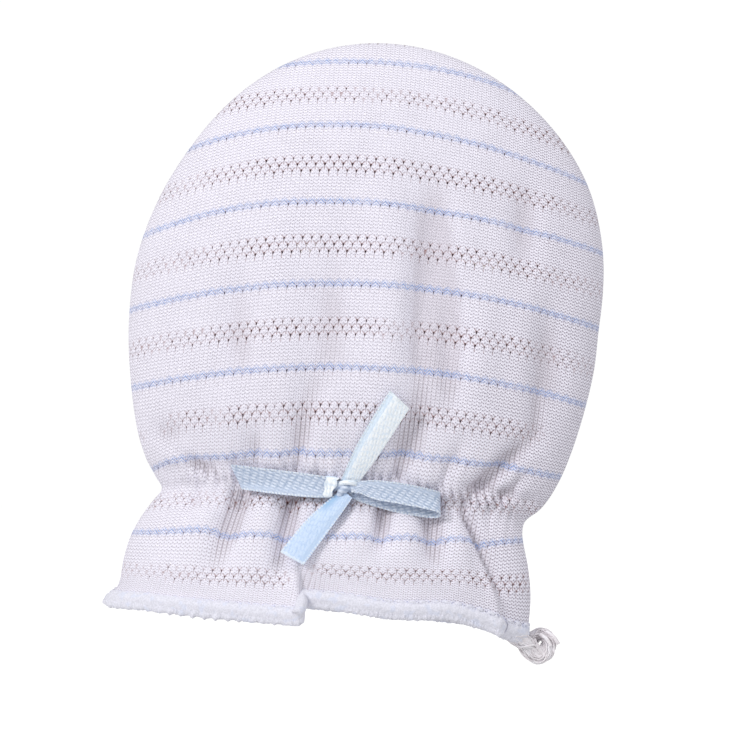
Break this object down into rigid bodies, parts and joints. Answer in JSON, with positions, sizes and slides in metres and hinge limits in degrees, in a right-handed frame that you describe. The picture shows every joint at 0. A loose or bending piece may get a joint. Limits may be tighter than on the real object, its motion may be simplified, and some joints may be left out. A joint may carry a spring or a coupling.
{
  "type": "baby mitten",
  "caption": "Baby mitten of striped pointelle knit, filled out as worn, with a gathered wrist, a ruffled cuff and a satin ribbon bow.",
  "frame": {"origin": "middle of the gathered wrist, where the wearer's hand holds the mitten", "axes": "+Z towards the finger tips, -Y to the front with the bow, +X to the right of the front"},
  "size_m": [0.0832, 0.0276, 0.1068],
  "materials": {
    "knit_cotton": "matte pointelle knit, white with pale blue stripes",
    "overlock_thread": "matte fluffy thread",
    "satin_ribbon": "satin, pale blue"
  },
  "bodies": {
    "root": {"front_panel": "knit_cotton", "back_panel": "knit_cotton", "hem_edge_front": "overlock_thread", "hem_edge_back": "overlock_thread", "seam_tail": "overlock_thread", "bow_loop_left": "satin_ribbon", "bow_loop_right": "satin_ribbon", "bow_tail_upper": "satin_ribbon", "bow_tail_lower": "satin_ribbon", "bow_knot": "satin_ribbon"}
  },
  "joints": []
}
